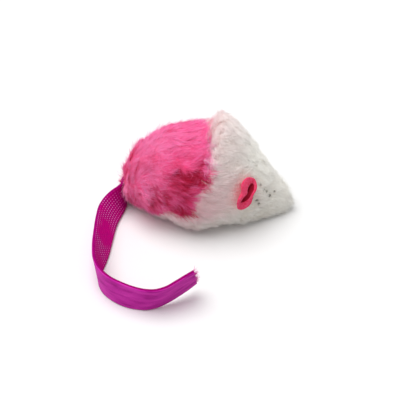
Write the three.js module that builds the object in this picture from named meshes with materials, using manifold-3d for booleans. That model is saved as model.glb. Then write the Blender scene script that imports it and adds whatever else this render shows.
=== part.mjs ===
// Catnip mouse: a small stuffed cat toy with a pink plush rump, a white plush head, folded
// felt ears and a velvet ribbon tail. Inside are two wads of fibre and a pouch of dried catnip.
// Millimetres. +X points to the nose, +Y to the mouse's left, +Z up; the belly rests on z = 0.
import * as THREE from "three";
import { mergeVertices } from "three/addons/utils/BufferGeometryUtils.js";
import Module from "manifold-3d";

// Stuffed body
const rumpLength = 25.4;
const headLength = 34.2;
const rumpWidth = 40.6;
const rumpHeight = 31.2;
const rumpTipHeight = 8.4;
const crestWidth = 40.2;
const crestHeight = 36;
const noseWidth = 3.8;
const noseTipWidth = 1.9;
const noseHeight = 6.6;
const widestHeight = 13;
const waistLean = 5.6;
const bellyCutDepth = 0.5;

// Plush: the cloth backing with its packed pile
const plushThickness = 3.2;
const seamGap = 0.3;

// Sewing thread
const threadDiameter = 0.7;
const threadGap = 0.3;
const closingLength = 18;
const closingStitchLength = 3;
const closingStitchHeight = 2.4;
const waistSeamDrop = 15;

// Felt ears
const earLength = 12.1;
const earWidth = 4.8;
const earHeight = 3.8;
const earEndDrop = 1.6;
const earFelt = 1.3;
const earSlotDepth = 3;
const earNeckLength = 6.4;
const earNeckWidth = 1.3;
const earNeckHeight = 2.1;
const earSwingRoom = 0.8;
const earForward = 16.6;
const rightEarRaise = 26;
const leftEarRaise = 12;
const earTackLength = 5;
const earTackWidth = 1.4;
const surfaceStep = 0.5;

// Ribbon tail
const ribbonWidth = 10;
const ribbonThickness = 1.2;
const tailRootHeight = 5.4;
const tailTabLength = 6;
const tailPivotStandoff = 1.2;
const tailTackWidth = 4.6;
const tailTackBottom = 4.3;
const tailTackHeight = 4.5;

// Catnip pouch
const pouchWidth = 18;
const pouchHeight = 15;
const pouchBulge = 7;
const pouchCloth = 0.6;
const pouchCentreHeight = 16;

// How far the cutting blocks reach, past everything that they cut
const overrun = 140;

// Shares and powers that shape the outlines
const rumpPower = 2.05;
const rumpUndersideShare = 0.6;
const swellShare = 0.12;
const taperPower = 1.24;
const noseCapShare = 0.88;
const noseTipShare = 0.2;
const noseMiddleShare = 0.45;
const lowerPower = 0.6;
const noseInsetShare = 2.2;
const pouchPower = 0.62;
const pouchEdgeShare = 0.1;
const earWaistShare = 0.12;
const earWaistPower = 8;
const bevelShare = 0.25;
const weldShare = 0.001;

// Counts of stations along a form, of points around it and of stitches
const rumpStations = 11;
const headStations = 13;
const outerPoints = 32;
const innerPoints = 24;
const pouchPoints = 20;
const pouchLayers = 4;
const earPoints = 24;
const earLayers = 5;
const threadSides = 6;
const tackStitches = 4;
const stepsPerStitch = 4;
const ribbonSteps = 48;

const waistX = (rumpLength - headLength) / 2;
const rearX = waistX - rumpLength;
const threadRadius = threadDiameter / 2;
const quarterTurn = Math.PI / 2;
const { degToRad } = THREE.MathUtils;

const wasm = await Module();
wasm.setup();

const mix = (from, to, share) => from + (to - from) * share;
const eased = (share) => share * share * (3 - 2 * share);

// A closed three.js geometry as a solid that can be cut and joined.
function solidOf(geometry) {
  const bare = geometry.index ? geometry.toNonIndexed() : geometry.clone();
  bare.deleteAttribute("normal");
  bare.deleteAttribute("uv");
  const merged = mergeVertices(bare, threadDiameter * weldShare);
  return new wasm.Manifold(
    new wasm.Mesh({
      numProp: 3,
      vertProperties: merged.attributes.position.array,
      triVerts: new Uint32Array(merged.index.array),
    }),
  );
}

// A solid as a three.js geometry with flat-shaded faces.
function geometryOf(solid) {
  const found = solid.getMesh();
  const geometry = new THREE.BufferGeometry();
  geometry.setAttribute("position", new THREE.BufferAttribute(found.vertProperties, 3));
  geometry.setIndex(new THREE.BufferAttribute(found.triVerts, 1));
  const flat = geometry.toNonIndexed();
  flat.computeVertexNormals();
  return flat;
}

// A closed skin over rings of equal point counts, with a flat fan on each end.
function loft(rings) {
  const around = rings[0].length;
  const middle = (ring) =>
    ring.reduce((sum, p) => sum.add(p), new THREE.Vector3()).divideScalar(around);
  const points = [...rings.flat(), middle(rings[0]), middle(rings[rings.length - 1])];
  const first = points.length - 2;
  const last = points.length - 1;
  const faces = [];
  for (let j = 0; j < around; j++) {
    const next = (j + 1) % around;
    for (let i = 0; i + 1 < rings.length; i++) {
      const a = i * around;
      const b = a + around;
      faces.push(a + j, b + j, b + next, a + j, b + next, a + next);
    }
    const end = (rings.length - 1) * around;
    faces.push(first, j, next, last, end + next, end + j);
  }
  let volume = 0;
  for (let i = 0; i < faces.length; i += 3) {
    const [a, b, c] = [points[faces[i]], points[faces[i + 1]], points[faces[i + 2]]];
    volume += a.dot(b.clone().cross(c));
  }
  if (volume < 0) faces.reverse();
  const geometry = new THREE.BufferGeometry().setFromPoints(points);
  geometry.setIndex(faces);
  return geometry;
}

// A box with its centre at a point, leaned about Y by an angle.
function boxAt(size, centre, lean = 0) {
  const geometry = new THREE.BoxGeometry(...size);
  geometry.rotateY(lean);
  geometry.translate(...centre);
  return solidOf(geometry);
}

// A round thread along a smooth curve through points.
function cordAlong(points, radius, steps) {
  const section = new THREE.Shape();
  for (let i = 0; i < threadSides; i++) {
    const turn = (i / threadSides) * 2 * Math.PI;
    const x = radius * Math.cos(turn);
    const y = radius * Math.sin(turn);
    if (i) section.lineTo(x, y);
    else section.moveTo(x, y);
  }
  section.closePath();
  const extrudePath = new THREE.CatmullRomCurve3(points, false, "centripetal");
  return new THREE.ExtrudeGeometry(section, { steps, bevelEnabled: false, extrudePath });
}

// A thread and the channel that it lies in.
function threadAndChannel(points, steps) {
  return {
    thread: solidOf(cordAlong(points, threadRadius, steps)),
    channel: solidOf(cordAlong(points, threadRadius + threadGap, steps)),
  };
}

// The body's outline at a distance ahead of the waist: half width, top, underside and the
// height where the section is widest. The waist leans forward at its top, fading to both ends.
function outlineAt(ahead) {
  if (ahead < 0) {
    const along = 1 + ahead / rumpLength;
    const round = (1 - (1 - along) ** rumpPower) ** (1 / rumpPower);
    const under = Math.min(1, along / rumpUndersideShare);
    const flat = Math.sqrt(1 - (1 - under) ** 2);
    return {
      half: (rumpWidth / 2) * round,
      top: mix(rumpTipHeight, rumpHeight, round),
      bottom: mix(rumpTipHeight, -bellyCutDepth, flat),
      widest: mix(rumpTipHeight, widestHeight, round),
      lean: waistLean * eased(along),
    };
  }
  const along = ahead / headLength;
  const lean = waistLean * (1 - along);
  if (along < swellShare) {
    const swell = eased(along / swellShare);
    return {
      half: mix(rumpWidth, crestWidth, swell) / 2,
      top: mix(rumpHeight, crestHeight, swell),
      bottom: -bellyCutDepth,
      widest: widestHeight,
      lean,
    };
  }
  const past = (along - swellShare) / (1 - swellShare);
  const taper = 1 - past ** taperPower;
  const beyond = Math.max(0, (past - noseCapShare) / (1 - noseCapShare));
  const cap = mix(noseTipShare, 1, Math.sqrt(Math.max(0, 1 - beyond ** 2)));
  const widest = mix(widestHeight, noseMiddleShare * noseHeight, past);
  return {
    half: (mix(noseWidth, crestWidth, taper) / 2) * cap,
    top: mix(widest, mix(noseHeight, crestHeight, taper), cap),
    bottom: mix(widest, -bellyCutDepth, cap),
    widest,
    lean,
  };
}

// A point of the body's surface, moved in by an inset, at a turn measured from +Y over the top.
function bodyPoint(ahead, turn, inset) {
  const { half, top, bottom, widest, lean } = outlineAt(ahead);
  const across = Math.cos(turn);
  const up = Math.sin(turn);
  const reach = Math.max(half - inset, noseTipWidth / 2);
  const power = up < 0 ? lowerPower : 1;
  const y = reach * Math.sign(across) * Math.abs(across) ** power;
  const rise = Math.max(top - inset - widest, 0);
  const floor = inset > 0 ? Math.max(bottom, 0) + inset : bottom;
  const drop = Math.max(widest - floor, 0);
  const z = widest + (up < 0 ? -drop : rise) * Math.abs(up) ** power;
  return new THREE.Vector3(waistX + ahead + (lean * z) / crestHeight, y, z);
}

// The stuffed body's form, moved in all round by an inset.
function bodyForm(inset, pointCount) {
  const stations = [];
  const start = inset - rumpLength;
  const end = headLength - noseInsetShare * inset;
  for (let i = 1; i <= rumpStations; i++) {
    stations.push(start * Math.cos((i / rumpStations) * quarterTurn));
  }
  for (let i = 1; i <= headStations; i++) {
    const share = i / headStations;
    stations.push(end * Math.sin(share * quarterTurn) ** (2 - share));
  }
  if (inset > 0) stations.unshift(start);
  const rings = stations.map((ahead) => {
    const ring = [];
    for (let j = 0; j < pointCount; j++) {
      ring.push(bodyPoint(ahead, (j / pointCount) * 2 * Math.PI, inset));
    }
    return ring;
  });
  return solidOf(loft(rings));
}

// Cutting pieces: everything above a height, everything behind or ahead of the waist seam,
// and everything left or right of the centre seam.
const above = (height) => boxAt([overrun, overrun, overrun], [0, 0, height + overrun / 2]);
const leanAngle = Math.atan2(waistLean, crestHeight);
function besideWaist(side) {
  const offset = (side * (overrun + seamGap)) / 2;
  const centre = [waistX + offset * Math.cos(leanAngle), 0, -offset * Math.sin(leanAngle)];
  return boxAt([overrun, overrun, overrun], centre, leanAngle);
}
const besideCentre = (side) =>
  boxAt([overrun, overrun, overrun], [0, (side * (overrun + seamGap)) / 2, 0]);
const behindWaist = besideWaist(-1);
const aheadOfWaist = besideWaist(1);
const leftHalf = besideCentre(1);
const rightHalf = besideCentre(-1);

// Tail tab: the ribbon's sewn end, on edge in the back seam, with its bar tack
const tabStartX = rearX - tailPivotStandoff + ribbonThickness / 2 + seamGap;
const tabLength = rearX + tailTabLength - tabStartX;
const tabCentre = [tabStartX + tabLength / 2, 0, tailRootHeight];
const tailTab = boxAt([tabLength, ribbonThickness, ribbonWidth], tabCentre);
const tabSlot = boxAt(
  [tabLength + 2 * seamGap, ribbonThickness + 2 * seamGap, ribbonWidth + 2 * seamGap],
  tabCentre,
);
const tailTackPoints = [];
for (let i = 0; i <= tackStitches; i++) {
  const side = i % 2 ? 1 : -1;
  const x = rearX + plushThickness / 2 + seamGap;
  const z = tailTackBottom + (tailTackHeight * i) / tackStitches;
  tailTackPoints.push(new THREE.Vector3(x, (side * tailTackWidth) / 2, z));
}
const tailTack = threadAndChannel(tailTackPoints, stepsPerStitch * tackStitches);
const tailTackSlot = boxAt(
  [threadDiameter + 2 * threadGap, overrun, tailTackHeight + threadDiameter],
  [tailTackPoints[0].x, 0, tailTackBottom + tailTackHeight / 2],
);

// Seam threads along the back and round the waist
const seamInset = plushThickness / 2;
const allStations = rumpStations + headStations;
const backSeamPoints = [];
for (let i = 0; i <= allStations; i++) {
  const from = plushThickness - rumpLength;
  const to = headLength - noseInsetShare * plushThickness;
  backSeamPoints.push(bodyPoint(mix(from, to, i / allStations), quarterTurn, seamInset));
}
const backSeam = threadAndChannel(backSeamPoints, allStations);
const waistSeamPoints = [];
for (let i = 0; i <= rumpStations; i++) {
  const drop = degToRad(waistSeamDrop);
  const turn = mix(-drop, Math.PI + drop, i / rumpStations);
  waistSeamPoints.push(bodyPoint(0, turn, seamInset + threadRadius + threadGap));
}
const waistSeam = threadAndChannel(waistSeamPoints, 2 * rumpStations);

// A point on the belly panel's seam at a distance ahead of the waist, on one side.
const bellySeamHeight = plushThickness + seamGap / 2;
function bellySeamPoint(ahead, side, lift = 0) {
  const { half, bottom, widest, lean } = outlineAt(ahead);
  const height = bellySeamHeight + lift;
  const share = Math.min(1, Math.max(0, (widest - height) / (widest - bottom)));
  const across = Math.sqrt(1 - share ** (2 / lowerPower)) ** lowerPower;
  const y = side * Math.max(half * across - seamInset, 0);
  return new THREE.Vector3(waistX + ahead + (lean * height) / crestHeight, y, height);
}

// Belly seam thread: from the closing gap round the rear, along the right side and back
const closingStart = -rumpLength / 2;
const closingEnd = closingStart + closingLength;
const bellySeamRear = tailTabLength + 2 * threadGap + threadDiameter - rumpLength;
const bellySeamFront = headLength - noseInsetShare * plushThickness;
const bellySeamPoints = [];
for (let i = 0; i <= rumpStations; i++) {
  bellySeamPoints.push(bellySeamPoint(mix(closingStart, bellySeamRear, i / rumpStations), 1));
}
for (let i = 0; i <= allStations; i++) {
  bellySeamPoints.push(bellySeamPoint(mix(bellySeamRear, bellySeamFront, i / allStations), -1));
}
for (let i = 0; i <= headStations; i++) {
  bellySeamPoints.push(bellySeamPoint(mix(bellySeamFront, closingEnd, i / headStations), 1));
}
const bellySeam = threadAndChannel(bellySeamPoints, 2 * allStations);

// Closing stitches: hand-sewn, up and down across the belly seam on the left
const closingPoints = [];
const closingStitches = Math.round((closingLength - closingStitchLength) / closingStitchLength);
for (let i = 1; i <= closingStitches; i++) {
  const lift = ((i % 2 ? 1 : -1) * closingStitchHeight) / 2;
  closingPoints.push(bellySeamPoint(closingStart + i * closingStitchLength, 1, lift));
}
const closing = threadAndChannel(closingPoints, stepsPerStitch * closingStitches);

// Catnip pouch: a small pillow across the waist, bulging along X
function pillow(inset) {
  const rings = [];
  for (let i = -pouchLayers; i <= pouchLayers; i++) {
    const across = (i / pouchLayers) * quarterTurn;
    const x = (pouchBulge / 2 - inset) * Math.sin(across);
    const size = Math.max(Math.cos(across), pouchEdgeShare);
    const ring = [];
    for (let j = 0; j < pouchPoints; j++) {
      const turn = (j / pouchPoints) * 2 * Math.PI;
      const [c, s] = [Math.cos(turn), Math.sin(turn)];
      const y = (pouchWidth / 2 - inset) * Math.sign(c) * Math.abs(c) ** pouchPower;
      const z = (pouchHeight / 2 - inset) * Math.sign(s) * Math.abs(s) ** pouchPower;
      ring.push(new THREE.Vector3(waistX + x, y * size, pouchCentreHeight + z * size));
    }
    rings.push(ring);
  }
  return solidOf(loft(rings));
}
const pouchShell = pillow(0).subtract(pillow(pouchCloth));
const pouchBlock = (side) =>
  boxAt([overrun, overrun, overrun], [waistX + (side * (overrun + seamGap)) / 2, 0, 0]);

// Where an ear stands on the head: its long way runs up the cheek, its opening faces out.
function earFrame(side) {
  const turn = Math.PI - degToRad(side > 0 ? leftEarRaise : rightEarRaise);
  const foot = bodyPoint(earForward, turn, 0);
  const forward = bodyPoint(earForward + surfaceStep, turn, 0).sub(foot).normalize();
  const higher = bodyPoint(earForward, turn - surfaceStep / earLength, 0).sub(foot);
  const out = higher.cross(forward).normalize();
  if (out.y > 0) out.negate();
  const long = out.clone().cross(forward).normalize();
  if (long.z < 0) long.negate();
  foot.addScaledVector(out, seamGap - earNeckHeight);
  if (side > 0) for (const v of [foot, out, long]) v.y = -v.y;
  const short = long.clone().cross(out);
  return new THREE.Matrix4().makeBasis(short, long, out).setPosition(foot);
}

// The ear's ring at a height above its neck's foot: pinched at the neck, flaring to the rim,
// drawn in at the middle of its sides and lower at its ends.
function earRing(height, wall) {
  const flare = Math.max(0, (height - earNeckHeight) / earHeight);
  const open = Math.sin(Math.min(1, flare) * quarterTurn);
  const long = mix(earNeckLength, earLength, open) / 2;
  const short = mix(earNeckWidth, earWidth, open) / 2;
  const inset = Math.min(wall, short - seamGap);
  const ring = [];
  for (let j = 0; j < earPoints; j++) {
    const turn = (j / earPoints) * 2 * Math.PI;
    const [c, s] = [Math.cos(turn), Math.sin(turn)];
    const waist = 1 - earWaistShare * open * (s ** earWaistPower + c ** earWaistPower);
    const x = (short - inset) * c * waist;
    const z = height - earEndDrop * flare * s ** 2;
    ring.push(new THREE.Vector3(x, (long - inset) * s, z));
  }
  return ring;
}
function earSolid() {
  const rimHeight = earNeckHeight + earHeight;
  const felt = [earRing(0, 0)];
  const slot = [];
  for (let i = 0; i <= earLayers; i++) {
    const share = i / earLayers;
    felt.push(earRing(mix(earNeckHeight, rimHeight, share), 0));
    const wall = mix(earWidth / 2, earFelt, Math.sqrt(share));
    slot.push(earRing(mix(rimHeight - earSlotDepth, rimHeight + seamGap, share), wall));
  }
  return solidOf(loft(felt)).subtract(solidOf(loft(slot)));
}
const earPocket = boxAt(
  [earNeckWidth + 2 * seamGap + 2 * earSwingRoom, earNeckLength + 2 * seamGap, 2 * earNeckHeight],
  [0, 0, earNeckHeight - seamGap],
);
const earTackPoints = [];
for (let i = 0; i <= tackStitches; i++) {
  const side = i % 2 ? 1 : -1;
  const y = mix(-earTackLength / 2, earTackLength / 2, i / tackStitches);
  const depth = plushThickness + seamGap - earNeckHeight;
  earTackPoints.push(new THREE.Vector3((side * earTackWidth) / 2, y, -depth));
}
const earTack = threadAndChannel(earTackPoints, stepsPerStitch * tackStitches);
const earFrames = { left: earFrame(1), right: earFrame(-1) };

// Plush covers, cut from the outer form less the space for the fibre
const outer = bodyForm(0, outerPoints).intersect(above(0));
const core = bodyForm(plushThickness, innerPoints);
const withoutEach = (solid, cutters) => cutters.reduce((left, cut) => left.subtract(cut), solid);
const earCuts = Object.values(earFrames).flatMap((frame) =>
  [earPocket, earTack.channel].map((solid) => solid.transform(frame.elements)),
);
const sideCover = withoutEach(outer.intersect(above(plushThickness + seamGap)), [
  core,
  tabSlot,
  tailTack.channel,
  backSeam.channel,
  waistSeam.channel,
  bellySeam.channel,
  closing.channel,
]);
const rumpCover = sideCover.intersect(behindWaist);
const headCover = withoutEach(sideCover.intersect(aheadOfWaist), earCuts);
const bellyPanel = withoutEach(outer.subtract(above(plushThickness)), [
  tabSlot,
  bellySeam.channel,
  closing.channel,
]);

// Fibre wads, with a pocket for the catnip pouch between them
const filling = withoutEach(bodyForm(plushThickness + seamGap, innerPoints), [
  pillow(-seamGap),
  tabSlot,
  tailTack.channel,
  ...earCuts,
]);

// Free ribbon: its centre line from the root to the cut end, chosen by hand, with how far
// its upper edge leans out from upright and rakes ahead, in degrees, at each point.
const ribbonRoute = [
  [-31, 0, 5.4, 0, 0],
  [-30.8, -2.4, 5.4, 1, 4],
  [-30.3, -4.7, 5.3, 4, 10],
  [-30.6, -6.9, 5.2, 12, 13],
  [-31.6, -9.1, 5, 22, 11],
  [-32.7, -11.6, 4.7, 31, 7],
  [-33.5, -14.4, 4.5, 36, 2],
  [-33.9, -17.1, 4.5, 37, -2],
  [-33.9, -20.3, 4.5, 35, -3],
  [-33.7, -24.5, 4.6, 33, -4],
  [-33.4, -28.6, 4.7, 30, -3],
  [-33.1, -32.7, 4.8, 27, -2],
  [-32.9, -36.6, 4.9, 22, -1],
  [-32.7, -40.4, 5.1, 14, -1],
  [-32.2, -44, 5.1, 8, -1],
  [-30.9, -47.7, 5.1, 3, -2],
  [-28.6, -51, 5.1, 0, -2],
  [-25.4, -53.6, 5.1, -1, -1],
  [-21.6, -55.5, 5.1, -2, -1],
  [-17.6, -56.7, 5.1, 1, -2],
  [-13.6, -57.1, 5.2, 6, -3],
  [-9.9, -56.4, 5.5, 12, -8],
  [-6.6, -54.7, 6.1, 15, -12],
  [-3.6, -52.5, 7, 15, -15],
  [-1, -50.5, 7.9, 16, -16],
  [1.4, -48.6, 8.8, 19, -17],
];

// The ribbon's lower and upper edge at each point of its route.
function ribbonEdges() {
  const centres = ribbonRoute.map(([x, y, z]) => new THREE.Vector3(x, y, z));
  const low = [];
  const high = [];
  centres.forEach((centre, i) => {
    const before = centres[Math.max(0, i - 1)];
    const after = centres[Math.min(centres.length - 1, i + 1)];
    const run = after.clone().sub(before).setZ(0).normalize();
    const outward = new THREE.Vector3(run.y, -run.x, 0);
    const [lean, rake] = ribbonRoute[i].slice(3).map(degToRad);
    const upward = new THREE.Vector3(0, 0, Math.cos(lean))
      .addScaledVector(outward, Math.sin(lean))
      .multiplyScalar(Math.cos(rake))
      .addScaledVector(run, Math.sin(rake));
    low.push(centre.clone().addScaledVector(upward, -ribbonWidth / 2));
    high.push(centre.clone().addScaledVector(upward, ribbonWidth / 2));
  });
  return [low, high].map((edge) => new THREE.CatmullRomCurve3(edge, false, "centripetal"));
}

// The ribbon's bevelled section about a centre, with its thickness scaled by a share.
function ribbonSection(centre, upward, face, share = 1) {
  const w = ribbonWidth / 2;
  const t = (ribbonThickness / 2) * share;
  const bevel = ribbonThickness * bevelShare * share;
  const outline = [
    [w - bevel, t],
    [w, t - bevel],
    [w, bevel - t],
    [w - bevel, -t],
    [bevel - w, -t],
    [-w, bevel - t],
    [-w, t - bevel],
    [bevel - w, t],
  ];
  return outline.map(([a, b]) =>
    centre.clone().addScaledVector(upward, a).addScaledVector(face, b),
  );
}

// The free ribbon, with a round end about the pivot at its root.
function ribbonSolid() {
  const [low, high] = ribbonEdges();
  const rings = [];
  for (let i = 0; i <= ribbonSteps; i++) {
    const share = i / ribbonSteps;
    const [bottom, top] = [low.getPoint(share), high.getPoint(share)];
    const centre = bottom.clone().add(top).divideScalar(2);
    const run = low.getTangent(share).add(high.getTangent(share)).normalize();
    const upward = top.sub(bottom).normalize();
    const face = run.clone().cross(upward).normalize();
    if (i === 0) {
      for (let j = stepsPerStitch - 1; j > 0; j--) {
        const turn = (j / stepsPerStitch) * quarterTurn;
        const back = centre.clone().addScaledVector(run, -Math.sin(turn) * ribbonThickness / 2);
        rings.push(ribbonSection(back, upward, face, Math.cos(turn)));
      }
    }
    rings.push(ribbonSection(centre, upward, face));
  }
  return solidOf(loft(rings));
}

// Materials, in the colours of the real thing
const materialOf = (color, roughness) =>
  new THREE.MeshStandardMaterial({ color, roughness, metalness: 0 });
const pinkPlush = () => materialOf(0xec5c94, 0.95);
const whitePlush = () => materialOf(0xece6dd, 0.95);
const coralFelt = () => materialOf(0xf5486f, 0.9);
const velvet = () => materialOf(0xb5148c, 0.75);
const fibre = () => materialOf(0xf6f5f0, 1);
const pouchCotton = () => materialOf(0xe9e4d6, 0.9);
const leaf = () => materialOf(0x7d8a4a, 1);
const whiteThread = () => materialOf(0xe6e0d6, 0.7);
const pinkThread = () => materialOf(0xd94886, 0.7);

const mouse = new THREE.Group();
function add(name, solid, material, frame = null) {
  const mesh = new THREE.Mesh(geometryOf(solid), material);
  mesh.name = name;
  if (frame) frame.decompose(mesh.position, mesh.quaternion, mesh.scale);
  mouse.add(mesh);
}
add("rump_cover_left", rumpCover.intersect(leftHalf), pinkPlush());
add("rump_cover_right", rumpCover.intersect(rightHalf), pinkPlush());
add("head_cover_left", headCover.intersect(leftHalf), whitePlush());
add("head_cover_right", headCover.intersect(rightHalf), whitePlush());
add("belly_panel", bellyPanel, whitePlush());
add("rump_fibre_fill", filling.intersect(behindWaist), fibre());
add("head_fibre_fill", filling.intersect(aheadOfWaist), fibre());
add("catnip_pouch_rear", pouchShell.intersect(pouchBlock(-1)), pouchCotton());
add("catnip_pouch_front", pouchShell.intersect(pouchBlock(1)), pouchCotton());
add("dried_catnip", pillow(pouchCloth + seamGap), leaf());
add("back_seam_thread", backSeam.thread, whiteThread());
add("waist_seam_thread", waistSeam.thread, whiteThread());
add("belly_seam_thread", bellySeam.thread, whiteThread());
add("closing_stitches", closing.thread, whiteThread());
add("tail_tab", tailTab.subtract(tailTackSlot), velvet());
add("tail_bar_tack", tailTack.thread, pinkThread());
add("tail_ribbon", ribbonSolid(), velvet());
for (const [side, frame] of Object.entries(earFrames)) {
  add("ear_" + side, earSolid(), coralFelt(), frame);
  add("ear_tack_" + side, earTack.thread, whiteThread(), frame);
}

export default mouse;
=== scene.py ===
import math

import bpy
import numpy as np
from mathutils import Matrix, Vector
from mathutils.bvhtree import BVHTree
from mathutils.kdtree import KDTree


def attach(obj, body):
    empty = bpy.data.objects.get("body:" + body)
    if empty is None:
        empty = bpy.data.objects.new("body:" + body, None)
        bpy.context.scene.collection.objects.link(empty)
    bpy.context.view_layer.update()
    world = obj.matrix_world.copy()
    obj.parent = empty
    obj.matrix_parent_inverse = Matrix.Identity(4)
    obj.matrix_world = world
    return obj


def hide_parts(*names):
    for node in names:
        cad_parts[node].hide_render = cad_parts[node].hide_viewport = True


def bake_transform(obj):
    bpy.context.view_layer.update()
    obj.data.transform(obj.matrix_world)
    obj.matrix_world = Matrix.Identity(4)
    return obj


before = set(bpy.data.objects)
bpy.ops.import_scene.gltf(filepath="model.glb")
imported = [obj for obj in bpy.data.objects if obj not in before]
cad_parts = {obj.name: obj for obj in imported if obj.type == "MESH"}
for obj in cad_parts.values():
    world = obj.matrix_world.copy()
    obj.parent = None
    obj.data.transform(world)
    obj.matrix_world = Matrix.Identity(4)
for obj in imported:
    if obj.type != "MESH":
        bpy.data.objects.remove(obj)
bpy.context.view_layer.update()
dice = np.random.default_rng(11)

# Lengths in this script are millimetres, and meshes are made in metres
MM = 0.001


# A new object in the scene that holds some data.
def placed(name, data):
    obj = bpy.data.objects.new(name, data)
    bpy.context.scene.collection.objects.link(obj)
    return obj


# Camera, as the photograph was taken, in metres
CAMERA_AZIMUTH = 7
CAMERA_ELEVATION = 40
CAMERA_DISTANCE = 0.352
CAMERA_TARGET = Vector((-0.003, 0.0006, 0))
CAMERA_LENS = 85.5
CAMERA_SENSOR_WIDTH = 36
camera_data = bpy.data.cameras.new("camera")
camera_data.lens = CAMERA_LENS
camera_data.sensor_width = CAMERA_SENSOR_WIDTH
camera = placed("camera", camera_data)
azimuth, elevation = math.radians(CAMERA_AZIMUTH), math.radians(CAMERA_ELEVATION)
towards_camera = Vector(
    (
        math.sin(azimuth) * math.cos(elevation),
        -math.cos(azimuth) * math.cos(elevation),
        math.sin(elevation),
    )
)
camera.location = CAMERA_TARGET + towards_camera * CAMERA_DISTANCE
camera.rotation_euler = towards_camera.to_track_quat("Z", "Y").to_euler()
bpy.context.scene.camera = camera


# Small helpers
def mix(a, b, share):
    return a + (b - a) * share


def eased(share):
    return share * share * (3 - 2 * share)


def unit(vectors):
    size = np.linalg.norm(vectors, axis=-1, keepdims=True)
    return vectors / np.maximum(size, 1e-9)


# A mesh object from points in millimetres and faces of any size.
def mesh_object(name, points, faces, materials, face_materials=None):
    mesh = bpy.data.meshes.new(name)
    mesh.from_pydata((np.asarray(points) * MM).tolist(), [], [list(f) for f in faces])
    for material in materials:
        mesh.materials.append(material)
    if face_materials is not None:
        mesh.polygons.foreach_set("material_index", face_materials)
    mesh.polygons.foreach_set("use_smooth", [True] * len(mesh.polygons))
    mesh.update()
    return placed(name, mesh)


# Faces of a tube that is made of rings of points, and last the two lids at its ends.
def tube_faces(rings, around):
    faces = []
    for ring in range(rings - 1):
        here, there = ring * around, (ring + 1) * around
        for j in range(around):
            k = (j + 1) % around
            faces.append((here + j, here + k, there + k, there + j))
    faces.append(tuple(range(around))[::-1])
    faces.append(tuple((rings - 1) * around + j for j in range(around)))
    return faces


# Materials
class Nodes:
    """A new material with its Principled shader, and short calls to add nodes before it."""

    def __init__(self, name, roughness, sheen=0.0, sheen_tint=(1, 1, 1), specular=0.3):
        self.material = bpy.data.materials.new(name)
        self.material.use_nodes = True
        self.tree = self.material.node_tree
        self.shader = self.tree.nodes["Principled BSDF"]
        self.shader.inputs["Roughness"].default_value = roughness
        self.shader.inputs["Sheen Weight"].default_value = sheen
        self.shader.inputs["Sheen Roughness"].default_value = 0.5
        self.shader.inputs["Sheen Tint"].default_value = (*sheen_tint, 1)
        self.shader.inputs["Specular IOR Level"].default_value = specular

    def add(self, kind, **values):
        node = self.tree.nodes.new(kind)
        for key, value in values.items():
            setattr(node, key, value)
        return node

    def link(self, source, target):
        self.tree.links.new(source, target)

    def noise(self, scale, detail=3.0, vector=None):
        node = self.add("ShaderNodeTexNoise")
        node.inputs["Scale"].default_value = scale
        node.inputs["Detail"].default_value = detail
        self.link(vector or self.place(), node.inputs["Vector"])
        return node.outputs["Fac"]

    def place(self):
        return self.add("ShaderNodeTexCoord").outputs["Object"]

    def ramp(self, source, stops):
        node = self.add("ShaderNodeValToRGB")
        while len(node.color_ramp.elements) < len(stops):
            node.color_ramp.elements.new(0.5)
        for element, (position, colour) in zip(node.color_ramp.elements, stops):
            element.position = position
            element.color = (*colour, 1)
        self.link(source, node.inputs["Fac"])
        return node.outputs["Color"]

    def blend(self, share, a, b, how="MIX"):
        node = self.add("ShaderNodeMix", data_type="RGBA", blend_type=how)
        for value, socket in ((share, 0), (a, 6), (b, 7)):
            if isinstance(value, bpy.types.NodeSocket):
                self.link(value, node.inputs[socket])
            elif isinstance(value, tuple):
                node.inputs[socket].default_value = (*value, 1)
            else:
                node.inputs[socket].default_value = value
        return node.outputs[2]

    def math(self, how, a, b=0.0, c=0.0):
        node = self.add("ShaderNodeMath", operation=how)
        for socket, value in enumerate((a, b, c)):
            if isinstance(value, bpy.types.NodeSocket):
                self.link(value, node.inputs[socket])
            else:
                node.inputs[socket].default_value = value
        return node.outputs[0]

    def colour(self, source):
        self.link(source, self.shader.inputs["Base Color"])

    def bump(self, height, strength, distance):
        node = self.add("ShaderNodeBump")
        node.inputs["Strength"].default_value = strength
        node.inputs["Distance"].default_value = distance
        self.link(height, node.inputs["Height"])
        self.link(node.outputs["Normal"], self.shader.inputs["Normal"])


# A fibre, thread or cloth whose colour and surface vary with a noise of a given scale.
def speckled(name, dark, light, scale, roughness, bump=0.4, depth=0.0002):
    nodes = Nodes(name, roughness, sheen=0.2)
    nodes.colour(nodes.ramp(nodes.noise(scale), [(0.3, dark), (0.7, light)]))
    nodes.bump(nodes.noise(scale * 2.5), bump, depth)
    return nodes.material


# Fur: the colour runs from root to tip, and varies from strand to strand and lock to lock. The lock tone
# also carries painted shade, and the blush a painted pink reflection on the white fur.
def fur_material(name, along, strands, locks, blush_and_reflection, specular):
    nodes = Nodes(name, 0.65, specular=specular)
    tone = nodes.add("ShaderNodeAttribute", attribute_name="tone")
    split = nodes.add("ShaderNodeSeparateColor")
    nodes.link(tone.outputs["Color"], split.inputs["Color"])
    body = nodes.ramp(split.outputs["Red"], along)
    body = nodes.blend(tone.outputs["Alpha"], body, blush_and_reflection)
    body = nodes.blend(1.0, body, nodes.ramp(split.outputs["Green"], strands), "MULTIPLY")
    body = nodes.blend(1.0, body, nodes.ramp(split.outputs["Blue"], locks), "MULTIPLY")
    nodes.colour(body)
    return nodes.material


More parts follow.
